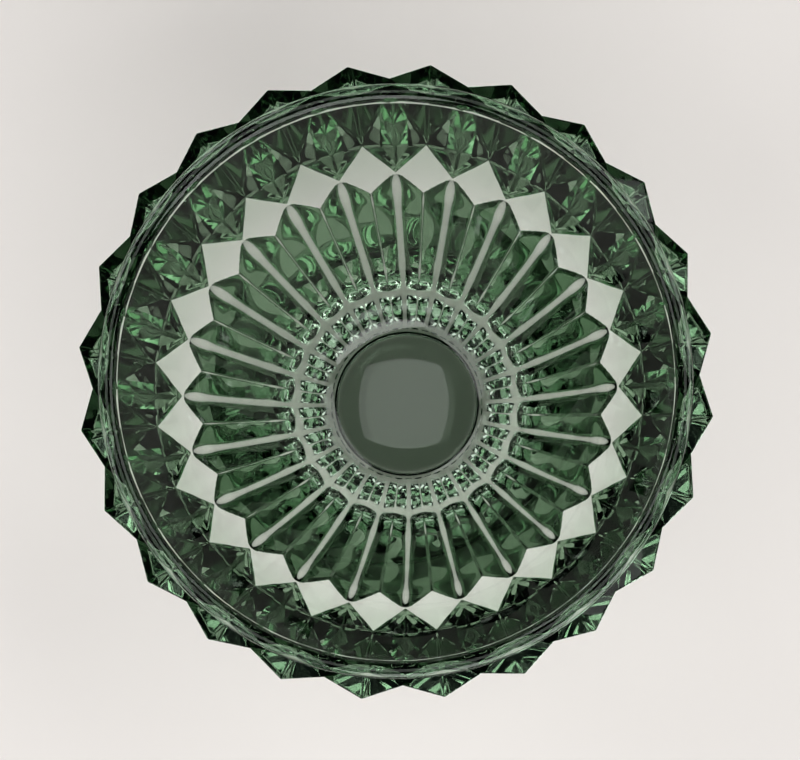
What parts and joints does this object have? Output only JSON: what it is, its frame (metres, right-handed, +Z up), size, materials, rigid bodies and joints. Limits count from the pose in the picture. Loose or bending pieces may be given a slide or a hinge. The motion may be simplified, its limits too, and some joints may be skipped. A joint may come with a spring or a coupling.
{
  "type": "glass bell",
  "caption": "Round pressed-glass bell with a toothed diamond belt under a rounded lip, fluted wall and small flat foot.",
  "frame": {"origin": "middle of the foot's flat underside, on the floor", "axes": "+Z up along the axis of the bell, towards its open mouth; +X through the tip of one tooth"},
  "size_m": [0.18, 0.18, 0.104],
  "materials": {
    "green_glass": "fire-polished bottle green"
  },
  "bodies": {
    "root": {"bell": "green_glass", "foot": "green_glass"}
  },
  "joints": []
}
